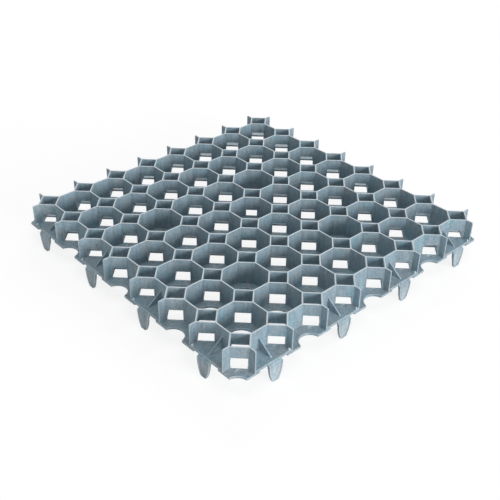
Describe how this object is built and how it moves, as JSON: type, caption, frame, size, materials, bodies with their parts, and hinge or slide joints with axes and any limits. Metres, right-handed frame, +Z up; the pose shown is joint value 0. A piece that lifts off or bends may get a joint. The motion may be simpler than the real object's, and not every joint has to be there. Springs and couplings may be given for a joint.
{
  "type": "grass paver grid",
  "caption": "Square plastic ground grid of octagon cells with small square cells between them, drain holes, spikes along the near edges and slotted tongues along the far ones.",
  "frame": {"origin": "middle of the whole outline, tongues included, level with the spikes' tips", "axes": "+Z up, towards the rims; +X and +Y point to the two edges with tongues"},
  "size_m": [0.5234, 0.5234, 0.062],
  "materials": {
    "grid_plastic": "matte moulded slate blue-grey"
  },
  "bodies": {
    "root": {"paver_grid": "grid_plastic"}
  },
  "joints": []
}
